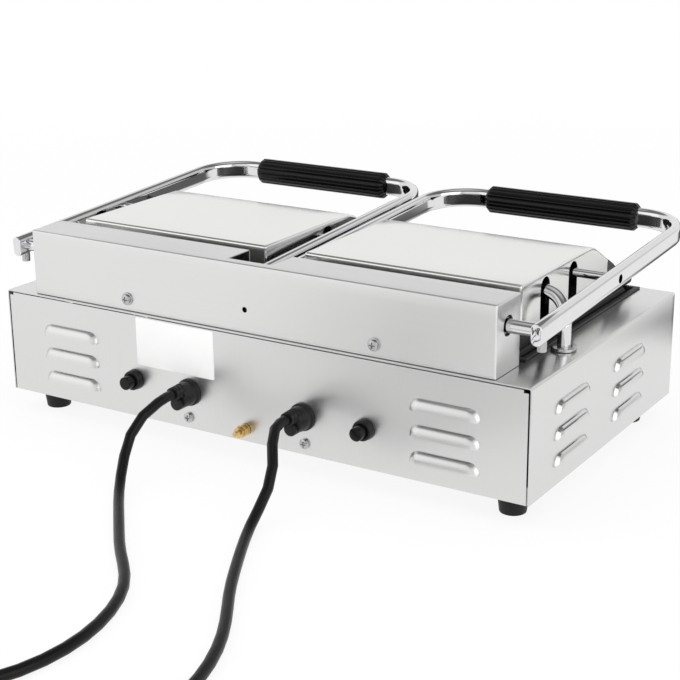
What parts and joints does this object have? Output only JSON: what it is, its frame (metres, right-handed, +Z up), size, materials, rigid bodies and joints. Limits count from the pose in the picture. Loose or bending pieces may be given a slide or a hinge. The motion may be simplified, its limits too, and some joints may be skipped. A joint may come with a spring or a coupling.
{
  "type": "contact grill",
  "caption": "Countertop contact grill: ribbed cast plates side by side, each under a lid hung in its own hinged handle, on a louvred stainless base with feet, mains leads and a grease tray",
  "frame": {"origin": "on the surface it stands on, under the centre of its outline without the mains leads", "axes": "+X to the user's right, -Y to the front where the grips, knobs and tray are, +Z up"},
  "size_m": [0.5796, 0.9396, 0.198],
  "materials": {
    "stainless": "satin brushed stainless sheet",
    "plated_steel": "zinc plated steel sheet",
    "spring_steel": "oiled spring wire",
    "chromed_steel": "bright chromed steel",
    "cast_iron_upper": "dark grey enamelled casting",
    "cast_iron_lower": "black enamelled casting",
    "heater_sheath": "oxidised steel heater sheath",
    "black_plastic": "black heat resistant plastic",
    "lamp_lens": "amber translucent lens",
    "brass": "turned brass",
    "foot_rubber": "black moulded rubber",
    "cord_rubber": "black rubber sheath, slightly glossy",
    "plug_plastic": "black moulded plastic"
  },
  "bodies": {
    "base": {"base_housing": "stainless", "rear_panel": "stainless", "rear_cover": "stainless", "bottom_plate": "plated_steel", "hinge_bracket_left": "plated_steel", "hinge_bracket_right": "plated_steel", "thermostat_left": "plated_steel", "thermostat_right": "plated_steel", "balance_spring_left": "spring_steel", "balance_spring_right": "spring_steel", "conduit_left": "chromed_steel", "conduit_right": "chromed_steel", "conduit_bush_left": "chromed_steel", "conduit_bush_right": "chromed_steel", "rear_cover_screw_left": "chromed_steel", "rear_cover_screw_right": "chromed_steel", "rear_panel_screw_left": "chromed_steel", "rear_panel_screw_right": "chromed_steel", "lower_plate_left": "cast_iron_lower", "lower_plate_right": "cast_iron_lower", "lower_heater_left": "heater_sheath", "lower_heater_right": "heater_sheath", "reset_switch_left": "black_plastic", "reset_switch_right": "black_plastic", "cable_gland_left": "black_plastic", "cable_gland_right": "black_plastic", "indicator_lamp_left": "lamp_lens", "indicator_lamp_right": "lamp_lens", "earth_stud": "brass", "foot_front_left": "foot_rubber", "foot_front_right": "foot_rubber", "foot_rear_left": "foot_rubber", "foot_rear_right": "foot_rubber", "cord_left": "cord_rubber", "cord_right": "cord_rubber", "cord_coil_left": "cord_rubber", "cord_coil_right": "cord_rubber", "plug_left": "plug_plastic", "plug_right": "plug_plastic"},
    "handle_left": {"hinge_shaft_left": "chromed_steel", "handle_frame_left": "chromed_steel", "grip_left": "black_plastic", "set_screw_left": "chromed_steel", "suspension_rod_left": "chromed_steel"},
    "lid_left": {"lid_cover_left": "stainless", "upper_plate_left": "cast_iron_upper", "upper_heater_left": "heater_sheath"},
    "knob_left": {"knob_left": "black_plastic"},
    "reset_button_left": {"reset_button_left": "black_plastic"},
    "handle_right": {"hinge_shaft_right": "chromed_steel", "handle_frame_right": "chromed_steel", "grip_right": "black_plastic", "set_screw_right": "chromed_steel", "suspension_rod_right": "chromed_steel"},
    "lid_right": {"lid_cover_right": "stainless", "upper_plate_right": "cast_iron_upper", "upper_heater_right": "heater_sheath"},
    "knob_right": {"knob_right": "black_plastic"},
    "reset_button_right": {"reset_button_right": "black_plastic"},
    "tray": {"grease_tray": "stainless"}
  },
  "joints": [
    {"name": "lift_left", "type": "hinge", "parent": "base", "child": "handle_left", "pos_m": [-0.145, 0.149, 0.1665], "axis": [-1, 0, 0], "range_deg": [0, 60], "deforming": ["conduit_left"]},
    {"name": "tilt_left", "type": "hinge", "parent": "handle_left", "child": "lid_left", "pos_m": [-0.1309, -0.001, 0.17434], "axis": [-1, 0, 0], "range_deg": [-4, 0]},
    {"name": "turn_knob_left", "type": "hinge", "parent": "base", "child": "knob_left", "pos_m": [-0.14, -0.146, 0.052], "axis": [0, 1, 0], "range_deg": [0, 270]},
    {"name": "press_reset_left", "type": "slide", "parent": "base", "child": "reset_button_left", "axis": [0, -1, 0], "range_m": [0, 0.003], "stiffness_N_per_m": 700},
    {"name": "lift_right", "type": "hinge", "parent": "base", "child": "handle_right", "pos_m": [0.145, 0.149, 0.1665], "axis": [-1, 0, 0], "range_deg": [0, 60], "deforming": ["conduit_right"]},
    {"name": "tilt_right", "type": "hinge", "parent": "handle_right", "child": "lid_right", "pos_m": [0.1309, -0.001, 0.17434], "axis": [-1, 0, 0], "range_deg": [-4, 0]},
    {"name": "turn_knob_right", "type": "hinge", "parent": "base", "child": "knob_right", "pos_m": [0.14, -0.146, 0.052], "axis": [0, 1, 0], "range_deg": [0, 270]},
    {"name": "press_reset_right", "type": "slide", "parent": "base", "child": "reset_button_right", "axis": [0, -1, 0], "range_m": [0, 0.003], "stiffness_N_per_m": 700},
    {"name": "pull_tray", "type": "slide", "parent": "base", "child": "tray", "axis": [0, -1, 0], "range_m": [0, 0.11]}
  ],
  "couplings": [
    {"joint": "tilt_left", "follows": "lift_left", "ratio": -0.066667},
    {"joint": "tilt_right", "follows": "lift_right", "ratio": -0.066667}
  ]
}
